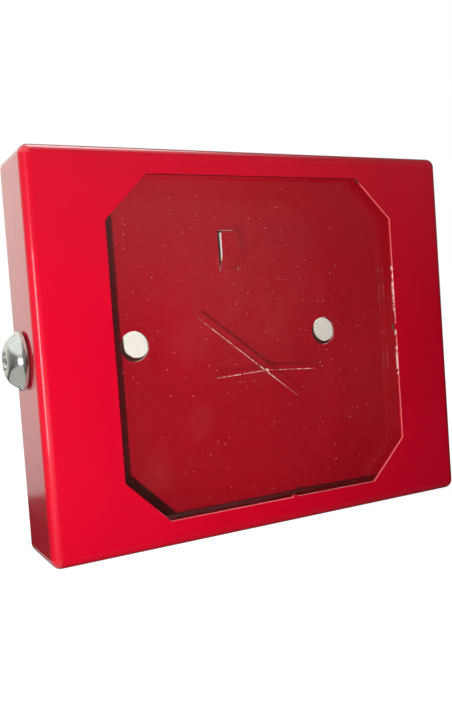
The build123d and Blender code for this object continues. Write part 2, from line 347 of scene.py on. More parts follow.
def buildNearLineGroup(look):
    # mask that is 1 within a half width of a line on the pane, with a soft ragged rim
    tree, groupIn, groupOut = groupTree(
        "nearLine",
        [
            ("Start", "NodeSocketVector", None),
            ("Along", "NodeSocketVector", None),
            ("Half Width", "NodeSocketFloat", 0.0003),
        ],
        [("Mask", "NodeSocketFloat")],
    )
    link = tree.links.new
    coords = addNode(tree, "ShaderNodeTexCoord", (-900, -250)).outputs["Object"]
    flat = addNode(tree, "ShaderNodeVectorMath", (-700, -250), {
        0: coords, 1: (1, 0, 1),
    }, operation="MULTIPLY")
    away = addNode(tree, "ShaderNodeVectorMath", (-500, -100), {
        0: flat.outputs[0], 1: groupIn.outputs["Start"],
    }, operation="SUBTRACT")
    reach = addNode(tree, "ShaderNodeVectorMath", (-300, -250), {
        0: away.outputs[0], 1: groupIn.outputs["Along"],
    }, operation="DOT_PRODUCT")
    square = addNode(tree, "ShaderNodeVectorMath", (-300, -450), {
        0: groupIn.outputs["Along"], 1: groupIn.outputs["Along"],
    }, operation="DOT_PRODUCT")
    share = mathNode(tree, "DIVIDE", reach.outputs["Value"], square.outputs["Value"], (-100, -300),
                     use_clamp=True)
    nearest = addNode(tree, "ShaderNodeVectorMath", (80, -200), {
        0: groupIn.outputs["Along"], "Scale": share,
    }, operation="SCALE")
    gap = addNode(tree, "ShaderNodeVectorMath", (260, -100), {
        0: away.outputs[0], 1: nearest.outputs[0],
    }, operation="DISTANCE")
    ragged = addNode(tree, "ShaderNodeTexNoise", (80, -450), {
        "Scale": look["raggedScale"], "Vector": coords,
    })
    wide = mathNode(tree, "MULTIPLY", ragged.outputs["Fac"], groupIn.outputs["Half Width"], (260, -350))
    twice = mathNode(tree, "MULTIPLY", wide, 2.0, (420, -350))
    ratio = mathNode(tree, "DIVIDE", gap.outputs["Value"], twice, (580, -200))
    fade = addNode(tree, "ShaderNodeMapRange", (740, -100), {
        "From Min": look["fadeFrom"], "From Max": look["fadeTo"], "To Min": 1.0, "To Max": 0.0,
        "Value": ratio,
    }, interpolation_type="SMOOTHSTEP")
    link(fade.outputs[0], groupOut.inputs["Mask"])
    return tree


nearLineGroup = buildNearLineGroup(paneGlass)


def strokeMasks(tree, strokes, halfWidth, at):
    # one mask for all the strokes, as the largest of their masks
    masks = []
    for number, (start, end, strength) in enumerate(strokes):
        below = at[1] - 220 * number
        near = placeGroup(tree, nearLineGroup, (at[0], below), Start=(start[0] * mm, 0, start[1] * mm),
                          Along=((end[0] - start[0]) * mm, 0, (end[1] - start[1]) * mm),
                          Half_Width=halfWidth * mm)
        masks.append(mathNode(tree, "MULTIPLY", near.outputs["Mask"], strength, (at[0] + 200, below)))
    total = masks[0]
    for number, mask in enumerate(masks[1:]):
        total = mathNode(tree, "MAXIMUM", total, mask, (at[0] + 220 * (number + 2), at[1]))
    return total


def buildGlass(look):
    # light is dimmed where it meets a groove on the pane's front, since a groove bends it away
    material, tree = newMaterial("clearGlass")
    glass = addNode(tree, "ShaderNodeBsdfPrincipled", (0, 100), {
        "Base Color": (*look["colour"], 1), "Roughness": look["roughness"], "IOR": look["ior"],
        "Transmission Weight": 1.0,
    })
    mask = strokeMasks(tree, score["shadows"], look["grooveHalfWidth"], (-1100, -300))
    coords = addNode(tree, "ShaderNodeTexCoord", (-900, 0)).outputs["Object"]
    split = addNode(tree, "ShaderNodeSeparateXYZ", (-700, 0), {0: coords})
    isFront = mathNode(tree, "LESS_THAN", split.outputs["Y"], (paneLow.y + paneHigh.y) / 2, (-500, 0))
    shade = mathNode(tree, "MULTIPLY", isFront, mask, (-350, -100))
    tint = colourMix(tree, shade, look["shadowTint"], look["grooveShade"], (-220, -250))
    clear = addNode(tree, "ShaderNodeBsdfTransparent", (0, -250), {0: tint})
    path = addNode(tree, "ShaderNodeLightPath", (0, 450))
    either = mathNode(tree, "MAXIMUM", path.outputs["Is Shadow Ray"], path.outputs["Is Diffuse Ray"],
                      (200, 400))
    mixed = addNode(tree, "ShaderNodeMixShader", (400, 100), {
        0: either, 1: glass.outputs[0], 2: clear.outputs[0],
    })
    addNode(tree, "ShaderNodeOutputMaterial", (650, 100), {0: mixed.outputs[0]})
    return material


dress("pane", buildGlass(paneGlass))


def buildScoreMaterial(look):
    material, tree = newMaterial("groundGlass")
    coords = addNode(tree, "ShaderNodeTexCoord", (-600, 0)).outputs["Object"]
    chips = addNode(tree, "ShaderNodeTexNoise", (-400, 0), {
        "Scale": look["chipScale"], "Detail": 3.0, "Vector": coords,
    })
    ramp = addNode(tree, "ShaderNodeMapRange", (-150, 0), {
        "From Min": look["chipFrom"], "From Max": look["chipTo"], "Value": chips.outputs["Fac"],
    })
    tone = colourMix(tree, ramp.outputs[0], look["gapColour"], look["colour"], (80, 0))
    shader = addNode(tree, "ShaderNodeBsdfPrincipled", (300, 0), {
        "Base Color": tone, "Roughness": look["roughness"],
    })
    addNode(tree, "ShaderNodeOutputMaterial", (600, 0), {0: shader.outputs[0]})
    return material


def scoreStroke(mesh, start, end, look, rng):
    # a ragged ridge that tapers at both ends, lying on the pane's front face
    startPoint = Vector((start[0] * mm, 0, start[1] * mm))
    endPoint = Vector((end[0] * mm, 0, end[1] * mm))
    along = (endPoint - startPoint).normalized()
    across = Vector((along.z, 0, -along.x))
    surface = paneLow.y - look["gap"] * mm
    rate, tip = look["taperRate"], look["tip"]
    rows = []
    for step in range(look["steps"] + 1):
        share = step / look["steps"]
        taper = min(1.0, rate * share + tip, rate * (1 - share) + tip) * (0.2 + 0.8 * rng.random() ** 1.3)
        half = taper * look["width"] * mm / 2
        wander = across * (rng.random() - 0.5) * look["wander"] * mm
        centre = startPoint.lerp(endPoint, share) + wander
        row = []
        for side, depth in ((1, 0.0), (0, look["height"] * mm * taper), (-1, 0.0)):
            point = centre + across * half * side
            row.append(mesh.verts.new((point.x, surface - depth, point.z)))
        rows.append(row)
    for first, second in zip(rows, rows[1:]):
        mesh.faces.new((first[0], first[1], second[1], second[0]))
        mesh.faces.new((first[1], first[2], second[2], second[1]))
        mesh.faces.new((first[2], first[0], second[0], second[2]))
    mesh.faces.new((rows[0][0], rows[0][2], rows[0][1]))
    mesh.faces.new((rows[-1][0], rows[-1][1], rows[-1][2]))


def scoreStar(mesh, centre, look, rng):
    surface = paneLow.y - look["starGap"] * mm
    top = mesh.verts.new((centre[0] * mm, surface - look["starHeight"] * mm, centre[1] * mm))
    least, spread = look["starReach"]
    rim = []
    for number in range(look["starPoints"]):
        angle = 2 * math.pi * number / look["starPoints"]
        reach = look["starRadius"] * (least + spread * rng.random()) * mm
        rim.append(mesh.verts.new((centre[0] * mm + reach * math.cos(angle), surface,
                                   centre[1] * mm + reach * math.sin(angle))))
    for first, second in zip(rim, rim[1:] + rim[:1]):
        mesh.faces.new((top, first, second))
    mesh.faces.new(rim)


def buildScore(look):
    rng = random.Random(look["seed"])
    mesh = bmesh.new()
    for start, end in look["strokes"]:
        scoreStroke(mesh, start, end, look, rng)
    scoreStar(mesh, crossing, look, rng)
    bmesh.ops.recalc_face_normals(mesh, faces=mesh.faces)
    data = finishedMesh("paneScore", mesh)
    return meshPiece("paneScore", data, buildScoreMaterial(look), "cover")


buildScore(score)
print("pane done")

paneFilm = {
    "gap": 0.03,  # mm in front of the pane
    "margin": 1.0,
    "colour": (0.80, 0.55, 0.50),
    # the even veil: dust haze and a painted sheen of reflected light
    "haze": 0.009,
    "thinnest": 0.65,  # share of the veil where it is wiped thin, and where it is thick
    "thickest": 1.25,
    "hazeScale": 260.0,
    "speck": 0.25,
    "speckScale": 420.0,
    "speckShare": 0.07,
    "patchScale": 60.0,  # the specks lie in patches
    "patchFrom": 0.55,
    "patchTo": 0.7,
    "roughness": 0.9,
    # centre x, z, radius (mm) and strength of each smudge; the broad ones are painted sheen
    "smudgesAndSheen": [(-25.0, -24.0, 8.0, 0.012), (-34.0, 45.0, 48.0, 0.010), (42.0, -12.0, 40.0, 0.008),
                (-26.0, 0.0, 10.0, 0.012), (-5.0, 12.0, 42.0, 0.016), (-40.0, -38.0, 9.0, 0.010)],
}


def buildFilmMaterial(look):
    # finger haze and dust, thicker in a few places; the even haze and the broad smudges also paint a pale
    # sheen of reflected light on the glass
    material, tree = newMaterial("paneDustAndSheen")
    coords = addNode(tree, "ShaderNodeTexCoord", (-1100, 0)).outputs["Object"]
    dust = placeGroup(tree, dustGroup, (-600, 500), Speck_Scale=look["speckScale"],
                      Speck_Share=look["speckShare"], Haze_Scale=look["hazeScale"])
    total = None
    for number, (x, z, radius, strength) in enumerate(look["smudgesAndSheen"]):
        away = addNode(tree, "ShaderNodeVectorMath", (-700, -220 * number), {
            0: coords, 1: (x * mm, paneLow.y, z * mm),
        }, operation="DISTANCE")
        fade = addNode(tree, "ShaderNodeMapRange", (-500, -220 * number), {
            "From Min": 0.0, "From Max": radius * mm, "To Min": strength, "To Max": 0.0,
            "Value": away.outputs["Value"],
        }, interpolation_type="SMOOTHERSTEP")
        if total is None:
            total = fade.outputs[0]
        else:
            total = mathNode(tree, "ADD", total, fade.outputs[0], (-250, -220 * number))
    base = mathNode(tree, "ADD", total, look["haze"], (0, 0))
    speck = mathNode(tree, "MULTIPLY", dust.outputs["Specks"], look["speck"], (200, 350))
    patches = addNode(tree, "ShaderNodeTexNoise", (0, 600), {"Scale": look["patchScale"], "Vector": coords})
    some = addNode(tree, "ShaderNodeMapRange", (200, 600), {
        "From Min": look["patchFrom"], "From Max": look["patchTo"], "Value": patches.outputs["Fac"],
    })
    grouped = mathNode(tree, "MULTIPLY", speck, some.outputs[0], (420, 450))
    uneven = addNode(tree, "ShaderNodeMapRange", (0, 250), {
        "To Min": look["thinnest"], "To Max": look["thickest"], "Value": dust.outputs["Haze"],
    })
    veil = mathNode(tree, "MULTIPLY", base, uneven.outputs[0], (200, 100))
    alpha = mathNode(tree, "ADD", veil, grouped, (600, 200), use_clamp=True)
    shader = addNode(tree, "ShaderNodeBsdfPrincipled", (900, 0), {
        "Alpha": alpha, "Base Color": (*look["colour"], 1), "Roughness": look["roughness"],
        "Specular IOR Level": 0.0,
    })
    addNode(tree, "ShaderNodeOutputMaterial", (1200, 0), {0: shader.outputs[0]})
    return material


def paneSheet(name, gap, margin):
    # the pane's outline less a margin, as one face in front of it
    low = paneLow + Vector((margin, 0, margin)) * mm
    high = paneHigh - Vector((margin, 0, margin)) * mm
    level = paneLow.y - gap * mm
    data = bpy.data.meshes.new(name)
    around = ((low.x, low.z), (high.x, low.z), (high.x, high.z), (low.x, high.z))
    data.from_pydata([(x, level, z) for x, z in around], [], [(0, 1, 2, 3)])
    return data


meshPiece("paneDustAndSheen", paneSheet("paneDustAndSheen", paneFilm["gap"], paneFilm["margin"]),
          buildFilmMaterial(paneFilm), "cover")

specks = {
    "count": 420,
    "seed": 11,
    "sizeMin": 0.035,  # mm
    "sizeMax": 0.15,
    "gap": 0.05,
    "margin": 8.0,
    "flatness": 0.3,  # thickness as a share of the size
    "colour": (0.90, 0.66, 0.62),
    "darkColour": (0.45, 0.16, 0.15),
    "toneScale": 150.0,
    "roughness": 0.8,
}


def setInputs(modifier, tree, **values):
    for item in tree.interface.items_tree:
        key = item.name.replace(" ", "_")
        if item.item_type == "SOCKET" and item.in_out == "INPUT" and key in values:
            modifier[item.identifier] = values[key]


def geometryTree(name, inputs):
    tree = bpy.data.node_groups.new(name, "GeometryNodeTree")
    tree.interface.new_socket("Geometry", in_out="INPUT", socket_type="NodeSocketGeometry")
    for label, kind in inputs:
        tree.interface.new_socket(label, in_out="INPUT", socket_type=kind)
    tree.interface.new_socket("Geometry", in_out="OUTPUT", socket_type="NodeSocketGeometry")
    return tree, addNode(tree, "NodeGroupInput", (-900, 0)), addNode(tree, "NodeGroupOutput", (900, 0))


def bakedMesh(name, data, tree, **values):
    # runs a Geometry Nodes tree on a mesh and gives back the plain result
    source = bpy.data.objects.new(name + "Source", data)
    bpy.context.collection.objects.link(source)
    modifier = source.modifiers.new("shape", "NODES")
    modifier.node_group = tree
    setInputs(modifier, tree, **values)
    bpy.context.view_layer.update()
    shaped = source.evaluated_get(bpy.context.evaluated_depsgraph_get())
    result = bpy.data.meshes.new_from_object(shaped)
    source.modifiers.remove(modifier)
    bpy.data.objects.remove(source)
    return result


def buildSpeckTree(look, material):
    tree, groupIn, groupOut = geometryTree("paneSpecks", [
        ("Density", "NodeSocketFloat"),
        ("Seed", "NodeSocketInt"),
        ("Size Min", "NodeSocketFloat"),
        ("Size Max", "NodeSocketFloat"),
    ])
    link = tree.links.new
    points = addNode(tree, "GeometryNodeDistributePointsOnFaces", (-600, 0), {
        "Mesh": groupIn.outputs["Geometry"], "Density": groupIn.outputs["Density"],
        "Seed": groupIn.outputs["Seed"],
    }, distribute_method="RANDOM")
    grain = addNode(tree, "GeometryNodeMeshIcoSphere", (-600, -300), {"Radius": 1.0, "Subdivisions": 1})
    size = addNode(tree, "FunctionNodeRandomValue", (-600, -500), {
        2: groupIn.outputs["Size Min"], 3: groupIn.outputs["Size Max"], "Seed": groupIn.outputs["Seed"],
    }, data_type="FLOAT")
    thin = mathNode(tree, "MULTIPLY", size.outputs[1], look["flatness"], (-500, -650))
    squash = addNode(tree, "ShaderNodeCombineXYZ", (-350, -500), {
        0: size.outputs[1], 1: thin, 2: size.outputs[1],
    })
    spin = addNode(tree, "FunctionNodeRandomValue", (-350, -700), {
        2: 0.0, 3: 2 * math.pi, "Seed": groupIn.outputs["Seed"],
    }, data_type="FLOAT")
    turn = addNode(tree, "ShaderNodeCombineXYZ", (-150, -700), {1: spin.outputs[1]})
    placed = addNode(tree, "GeometryNodeInstanceOnPoints", (0, 0), {
        "Points": points.outputs["Points"], "Instance": grain.outputs["Mesh"], "Scale": squash.outputs[0],
        "Rotation": turn.outputs[0],
    })
    real = addNode(tree, "GeometryNodeRealizeInstances", (250, 0), {0: placed.outputs[0]})
    coat = addNode(tree, "GeometryNodeSetMaterial", (500, 0), {
        "Material": material, "Geometry": real.outputs[0],
    })
    link(coat.outputs[0], groupOut.inputs[0])
    return tree


def buildSpecks(look):
    material, tree = newMaterial("dustGrain")
    coords = addNode(tree, "ShaderNodeTexCoord", (-500, 0)).outputs["Object"]
    tone = addNode(tree, "ShaderNodeTexNoise", (-300, 0), {"Scale": look["toneScale"], "Vector": coords})
    mixed = colourMix(tree, tone.outputs["Fac"], look["colour"], look["darkColour"], (0, 0))
    shader = addNode(tree, "ShaderNodeBsdfPrincipled", (300, 0), {
        "Base Color": mixed, "Roughness": look["roughness"],
    })
    addNode(tree, "ShaderNodeOutputMaterial", (600, 0), {0: shader.outputs[0]})
    sheet = paneSheet("speckSheet", look["gap"], look["margin"])
    area = sheet.polygons[0].area
    mesh = bakedMesh("paneSpecks", sheet, buildSpeckTree(look, material), Density=look["count"] / area,
                     Seed=look["seed"], Size_Min=look["sizeMin"] * mm, Size_Max=look["sizeMax"] * mm)
    mesh.name = "paneSpecks"
    return meshPiece("paneSpecks", mesh, material, "cover")


buildSpecks(specks)
print("film and specks done")


windowLip = {
    "reachShare": 0.36,  # the rim lies within these shares of the cover's width and height
    "tallShare": 0.45,
    "bulge": 0.16,  # mm into the opening
    "steps": 8,
    "flakeScale": 520.0,
    "flakeShare": 0.48,
    "chipAndGlintColour": (0.92, 0.58, 0.53),
    "chipFrom": 50.9,  # x in mm where the chipped right edge begins; the chips also paint the cut edge's glints
    "chipLow": -16.0,
    "chipHigh": 22.0,
    # a painted highlight along the front of the right and bottom edges
    "edgeGlintColour": (0.88, 0.22, 0.25),
    "glintDepth": 0.35,  # mm behind the front face
    "glintFrom": (30.0, 38.0),  # x over which the painted highlight sets in
    "rubBelow": (-46.0, -50.0),  # z over which it sets in along the bottom
    "shadeColour": (0.09, 0.001, 0.003),
    "shadeFrom": (49.5, 51.0),  # z over which the top edge turns dark
    "nubs": [(51.4, 0.8, 1.1), (6.0, -51.5, 0.8)],  # x, z and radius of the two stubs, painted dark as shade
    "nubShadeColour": (0.06, 0.03, 0.03),
}


def windowOutline(look):
    # the window's rim on the cover's front face, in order round the centre
    reach = (coverHigh.x - coverLow.x) * look["reachShare"]
    tall = (coverHigh.z - coverLow.z) * look["tallShare"]
    points = {}
    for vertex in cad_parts["cover"].data.vertices:
        spot = vertex.co
        if spot.y < coverLow.y + hair and abs(spot.x) < reach and abs(spot.z) < tall:
            points[(round(spot.x, 6), round(spot.z, 6))] = True
    return sorted(points, key=lambda point: math.atan2(point[1], point[0]))


def buildLip(look, material):
    # rounded, paint-covered cut edge of the front sheet
    outline = windowOutline(look)
    count = len(outline)
    sheet = coverSheet / 2
    mesh = bmesh.new()
    rings = []
    for number, (x, z) in enumerate(outline):
        before = Vector(outline[number - 1])
        after = Vector(outline[(number + 1) % count])
        edgeIn = (Vector((x, z)) - before).normalized()
        edgeOut = (after - Vector((x, z))).normalized()
        normalIn = Vector((-edgeIn.y, edgeIn.x))
        normalOut = Vector((-edgeOut.y, edgeOut.x))
        inward = (normalIn + normalOut).normalized()
        inward /= max(0.5, inward.dot(normalIn))
        ring = []
        for step in range(look["steps"] + 1):
            angle = math.pi * (step / look["steps"] - 0.5)
            bulge = look["bulge"] * mm * math.cos(angle)
            depth = coverLow.y + sheet + (sheet - hair) * math.sin(angle)
            ring.append(mesh.verts.new((x + inward.x * bulge, depth, z + inward.y * bulge)))
        rings.append(ring)
    for number, ring in enumerate(rings):
        following = rings[(number + 1) % count]
        for step in range(look["steps"]):
            mesh.faces.new((ring[step], ring[step + 1], following[step + 1], following[step]))
    bmesh.ops.recalc_face_normals(mesh, faces=mesh.faces)
    data = finishedMesh("windowLip", mesh)
    for polygon in data.polygons:
        polygon.use_smooth = True
    return meshPiece("windowLip", data, material, "cover")


def buildEdgeCoatChipsAndPaintedLight(look):
    # the coat of the window's rim, with pale primer chips on the right edge that also paint the cut edge's
    # glints, a painted highlight along the right and bottom front edges, and painted shade along the top
    # edge and on the two stubs
    material = buildRedCoat("redCoatEdge", edgeCoat)
    tree = material.node_tree
    link = tree.links.new
    shader = next(node for node in tree.nodes if node.type == "BSDF_PRINCIPLED")
    painted = shader.inputs["Base Color"].links[0].from_socket
    coords = addNode(tree, "ShaderNodeTexCoord", (-900, 800)).outputs["Object"]
    split = addNode(tree, "ShaderNodeSeparateXYZ", (-700, 800), {0: coords})
    side = mathNode(tree, "GREATER_THAN", split.outputs["X"], look["chipFrom"] * mm, (-500, 900))
    below = mathNode(tree, "LESS_THAN", split.outputs["Z"], look["chipHigh"] * mm, (-500, 750))
    above = mathNode(tree, "GREATER_THAN", split.outputs["Z"], look["chipLow"] * mm, (-500, 600))
    span = mathNode(tree, "MULTIPLY", below, above, (-300, 700))
    place = mathNode(tree, "MULTIPLY", span, side, (-100, 800))
    # pale chips along the right edge, partly a painted highlight of the cut edge's glints
    flakes = addNode(tree, "ShaderNodeTexNoise", (-500, 1100), {
        "Scale": look["flakeScale"], "Detail": 3.0, "Vector": coords,
    })
    broken = mathNode(tree, "GREATER_THAN", flakes.outputs["Fac"], look["flakeShare"], (-300, 1100))
    chipAndGlint = mathNode(tree, "MULTIPLY", broken, place, (100, 900))
    # painted highlight along the front edge at the right and bottom, and painted shade along the top
    glintEnd = coverLow.y + look["glintDepth"] * mm
    edge = smoothShare(tree, split.outputs["Y"], glintEnd, coverLow.y, (-500, 450))
    atRight = smoothShare(tree, split.outputs["X"], *[x * mm for x in look["glintFrom"]], (-500, 250))
    atBottom = smoothShare(tree, split.outputs["Z"], *[z * mm for z in look["rubBelow"]], (-500, 50))
    atTop = smoothShare(tree, split.outputs["Z"], *[z * mm for z in look["shadeFrom"]], (-500, -150))
    glintSides = mathNode(tree, "MAXIMUM", atRight, atBottom, (-300, 200))
    rub = mathNode(tree, "MULTIPLY", edge, glintSides, (-150, 350))
    glinted = colourMix(tree, rub, painted, look["edgeGlintColour"], (0, 500))
    shaded = colourMix(tree, atTop, glinted, look["shadeColour"], (150, 500))
    final = colourMix(tree, chipAndGlint, shaded, look["chipAndGlintColour"], (300, 700))
    # painted shade on the two stubs
    for number, (x, z, radius) in enumerate(look["nubs"]):
        away = addNode(tree, "ShaderNodeVectorMath", (300, 1100 + 200 * number), {
            0: coords, 1: (x * mm, coverLow.y, z * mm),
        }, operation="DISTANCE")
        near = mathNode(tree, "LESS_THAN", away.outputs["Value"], radius * mm, (500, 1100 + 200 * number))
        final = colourMix(tree, near, final, look["nubShadeColour"], (700, 900 + 200 * number))
    link(final, shader.inputs["Base Color"])
    return material


buildLip(windowLip, buildEdgeCoatChipsAndPaintedLight(windowLip))
print("window lip done")


def buildMetal(name, look):
    material, tree = newMaterial(name)
    coords = addNode(tree, "ShaderNodeTexCoord", (-800, 0)).outputs["Object"]
    mottle = addNode(tree, "ShaderNodeTexNoise", (-500, 200), {
        "Scale": look["mottle"], "Detail": 4.0, "Vector": coords,
    })
    bands = addNode(tree, "ShaderNodeMapRange", (-350, 200), {
        "From Min": look["mottleFrom"], "From Max": look["mottleTo"], "Value": mottle.outputs["Fac"],
    })
    tone = colourMix(tree, bands.outputs[0], look["colour"], look["stain"], (-200, 200))
    rough = addNode(tree, "ShaderNodeMapRange", (-200, -50), {
        "To Min": look["roughness"] * look["smoothest"], "To Max": look["roughness"] * look["roughest"],
        "Value": mottle.outputs["Fac"],
    })
    scuffs = placeGroup(tree, scuffGroup, (-500, -300), Scale=look["scuffScale"],
                        Stretch=look["scuffStretch"], Share=look["scuffShare"])
    bump = addNode(tree, "ShaderNodeBump", (200, -300), {
        "Strength": look["bumpStrength"], "Distance": look["bumpDistance"],
        "Height": scuffs.outputs["Mask"],
    })
    shader = addNode(tree, "ShaderNodeBsdfPrincipled", (500, 0), {
        "Base Color": tone, "Roughness": rough.outputs[0], "Normal": bump.outputs[0],
        "Metallic": 1.0,
    })
    addNode(tree, "ShaderNodeOutputMaterial", (800, 0), {0: shader.outputs[0]})
    return material


def buildFoam(name, look):
    material, tree = newMaterial(name)
    coords = addNode(tree, "ShaderNodeTexCoord", (-800, 0)).outputs["Object"]
    cells = addNode(tree, "ShaderNodeTexVoronoi", (-500, 0), {"Scale": look["scale"], "Vector": coords})
    # the pores are painted darker, as shade in the hollows of the bump
    shadedPores = tuple(look["poreShadeShare"] * part for part in look["colour"])
    tone = colourMix(tree, cells.outputs["Distance"], shadedPores, look["colour"], (-200, 200))
    bump = addNode(tree, "ShaderNodeBump", (200, -300), {
        "Strength": look["bumpStrength"], "Distance": look["depth"], "Height": cells.outputs["Distance"],
    })
    shader = addNode(tree, "ShaderNodeBsdfPrincipled", (500, 0), {
        "Base Color": tone, "Normal": bump.outputs[0], "Roughness": look["roughness"],
    })
    addNode(tree, "ShaderNodeOutputMaterial", (800, 0), {0: shader.outputs[0]})
    return material


brightZinc = {
    "colour": (0.80, 0.82, 0.79),
    "stain": (0.70, 0.74, 0.68),
    "roughness": 0.20,
    "mottle": 210.0,
    "mottleFrom": 0.35,
    "mottleTo": 0.65,
    "smoothest": 0.75,  # shares of the roughness
    "roughest": 1.3,
    "scuffScale": 90.0,
    "scuffStretch": 8.0,
    "scuffShare": 0.02,
    "bumpStrength": 0.25,
    "bumpDistance": 0.00003,
}
dullZinc = dict(brightZinc, colour=(0.62, 0.63, 0.61), stain=(0.50, 0.52, 0.46), roughness=0.36,
                mottle=260.0, scuffScale=140.0)
foam = {
    "colour": (0.035, 0.035, 0.036),
    "poreShadeShare": 0.5,  # how much of the colour is left in the pores, which are painted darker as shade in the hollows
    "scale": 1400.0,
    "bumpStrength": 0.6,
    "depth": 0.0002,
    "roughness": 0.85,
}
fibre = dict(foam, colour=(0.060, 0.030, 0.026), scale=2400.0, depth=0.00008)

screwZinc = buildMetal("brightZinc", brightZinc)
fixingZinc = buildMetal("dullZinc", dullZinc)
foamBlack = buildFoam("foam", foam)
dress("screw_washer", buildFoam("washerFibre", fibre))
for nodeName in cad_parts:
    if nodeName.startswith("gasket"):
        dress(nodeName, foamBlack)
    if nodeName.startswith("clip") or nodeName == "screw_nut":
        dress(nodeName, fixingZinc)

thread = {
    "rootRadius": 3.32,  # mm
    "crestRadius": 3.94,
    "pitch": 1.25,
    "start": 2.2,  # under the head
    "end": 11.3,
    "runOut": 1.0,  # the shank is turned down this far before the thread's start
    "length": 12.0,  # shank under the head
    "weld": 0.01,  # points nearer than this are one
    "sharpAngle": 17,  # degrees
    "ridgeSides": 4,
    "stepsPerTurn": 40,
}


def buildThreadTree(look, material):
    # a four-sided ridge swept along a helix
    tree, groupIn, groupOut = geometryTree("screwThread", [
        ("Radius", "NodeSocketFloat"),
        ("Height", "NodeSocketFloat"),
        ("Turns", "NodeSocketFloat"),
        ("Ridge", "NodeSocketFloat"),
    ])
    link = tree.links.new
    helix = addNode(tree, "GeometryNodeCurveSpiral", (-600, 0), {
        "Resolution": look["stepsPerTurn"], "Start Radius": groupIn.outputs["Radius"],
        "End Radius": groupIn.outputs["Radius"], "Height": groupIn.outputs["Height"],
        "Rotations": groupIn.outputs["Turns"],
    })
    ridge = addNode(tree, "GeometryNodeCurvePrimitiveCircle", (-600, -300), {
        "Resolution": look["ridgeSides"], "Radius": groupIn.outputs["Ridge"],
    })
    upright = addNode(tree, "GeometryNodeSetCurveNormal", (-400, 0), {0: helix.outputs[0]})
    swept = addNode(tree, "GeometryNodeCurveToMesh", (-200, 0), {
        "Fill Caps": True, "Curve": upright.outputs[0], "Profile Curve": ridge.outputs[0],
    })
    real = addNode(tree, "GeometryNodeRealizeInstances", (100, 0), {0: swept.outputs[0]})
    coat = addNode(tree, "GeometryNodeSetMaterial", (400, 0), {
        "Material": material, "Geometry": real.outputs[0],
    })
    link(coat.outputs[0], groupOut.inputs[0])
    return tree


def buildScrew(look, material):
    # the CAD head as it is, its shank turned down to the thread's root and a ridge wound round it
    mesh = bmesh.new()
    mesh.from_mesh(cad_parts["side_screw"].data)
    bmesh.ops.remove_doubles(mesh, verts=mesh.verts, dist=look["weld"] * mm)
    underHead = screwHigh.x - look["length"] * mm
    turnedFrom = underHead + look["start"] * mm - look["runOut"] * mm
    axis = Vector((0, screwCentre.y, screwCentre.z))
    for vertex in mesh.verts:
        away = Vector((0, vertex.co.y, vertex.co.z)) - axis
        if vertex.co.x > turnedFrom and away.length > look["rootRadius"] * mm:
            vertex.co = Vector((vertex.co.x, 0, 0)) + axis + away.normalized() * look["rootRadius"] * mm
    turns = (look["end"] - look["start"]) / look["pitch"]
    ridge = (look["crestRadius"] - look["rootRadius"]) * mm
    blank = bpy.data.meshes.new("helixSeed")
    wound = bakedMesh("helix", blank, buildThreadTree(look, material), Radius=look["rootRadius"] * mm,
                      Height=(look["end"] - look["start"]) * mm, Turns=turns, Ridge=ridge)
    stand = Matrix.Translation(axis + Vector((underHead + look["start"] * mm, 0, 0)))
    wound.transform(stand @ Matrix.Rotation(math.radians(90), 4, "Y"))
    mesh.from_mesh(wound)
    data = finishedMesh("screwThreaded", mesh)
    data.shade_smooth()
    data.set_sharp_from_angle(angle=math.radians(look["sharpAngle"]))
    piece = meshPiece("screwThreaded", data, material, screwBody)
    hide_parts("side_screw")
    return piece


buildScrew(thread, screwZinc)
print("metal and foam done")

studio = {
    "floorSize": 4.0,
    "floorDrop": 0.0004,
    "floorColour": 0.25,
    "floorGlow": 0.94,
    "floorFade": (0.45, 1.20),  # where the floor turns to pure white
    "fillFront": 0.04,
    "fillBehind": 0.25,
    "keyPlace": (-0.150, -0.250, -0.015),
    "keyPower": 2.45,
    "keyRadius": 0.0012,
    "foldPlace": (-0.445, -0.359, -0.010),
    "foldSize": (0.13, 0.18),
    "foldPower": 0.33,
    "wallKeyPower": 13.0,
    "lowPlace": (-0.13, -0.16, -0.040),
    "lowSize": (0.10, 0.03),
    "lowPower": 0.080,
    "sidePlace": (-0.35, 0.0, 0.30),
    "sideSize": (0.15, 0.15),
    "sidePower": 0.75,
    "topPlace": (0.10, 0.15, 0.80),
    "topSize": (0.40, 0.40),
    "topPower": 1.5,
    "backPlace": (0.35, 0.75, 0.35),
    "backSize": (0.50, 0.50),
    "backPower": 1.7,
}
# grey level round the box by the cosine from straight behind it, as (cosine, level)
leftLevels = [(-1.0, 0.10), (-0.87, 0.18), (-0.67, 0.50), (-0.47, 0.30), (0.0, 0.20), (0.5, 0.32),
              (0.743, 0.62), (0.88, 1.0)]
rightLevels = [(-1.0, 0.15), (0.0, 0.12), (0.5, 0.30), (0.743, 0.6), (0.88, 1.0)]
# colour of the backdrop behind the box by height of the ray, as (height, colour)
backdropTones = [
    (-0.199, (0.015, 0.015, 0.015)),
    (-0.193, (0.50, 0.50, 0.49)),
    (-0.115, (0.63, 0.62, 0.58)),
    (0.03, (0.75, 0.74, 0.69)),
    (0.18, (0.88, 0.87, 0.80)),
]
# share of the grey level in front of the box by height of the ray
frontShares = [(-0.15, 0.03), (-0.03, 0.06), (0.06, 0.25), (0.15, 0.6), (0.30, 1.0)]
overhead = (0.95, 0.97, 0.95)
# level high up on the right by height of the ray: dark but for a patch of ceiling
ceilingLevels = [(0.30, 0.14), (0.80, 0.12), (0.88, 0.9), (1.0, 1.0)]
underneath = (0.50, 0.50, 0.47)
underneathRight = (0.04, 0.04, 0.04)
aheadLeft = (0.8, 0.8, 0.8)
# heights of the ray, and its lean to a side, over which one zone turns into the next
sideTurn = (-0.2, 0.2)
highTurn = (0.30, 0.45)
lowTurn = (-0.27, -0.34)


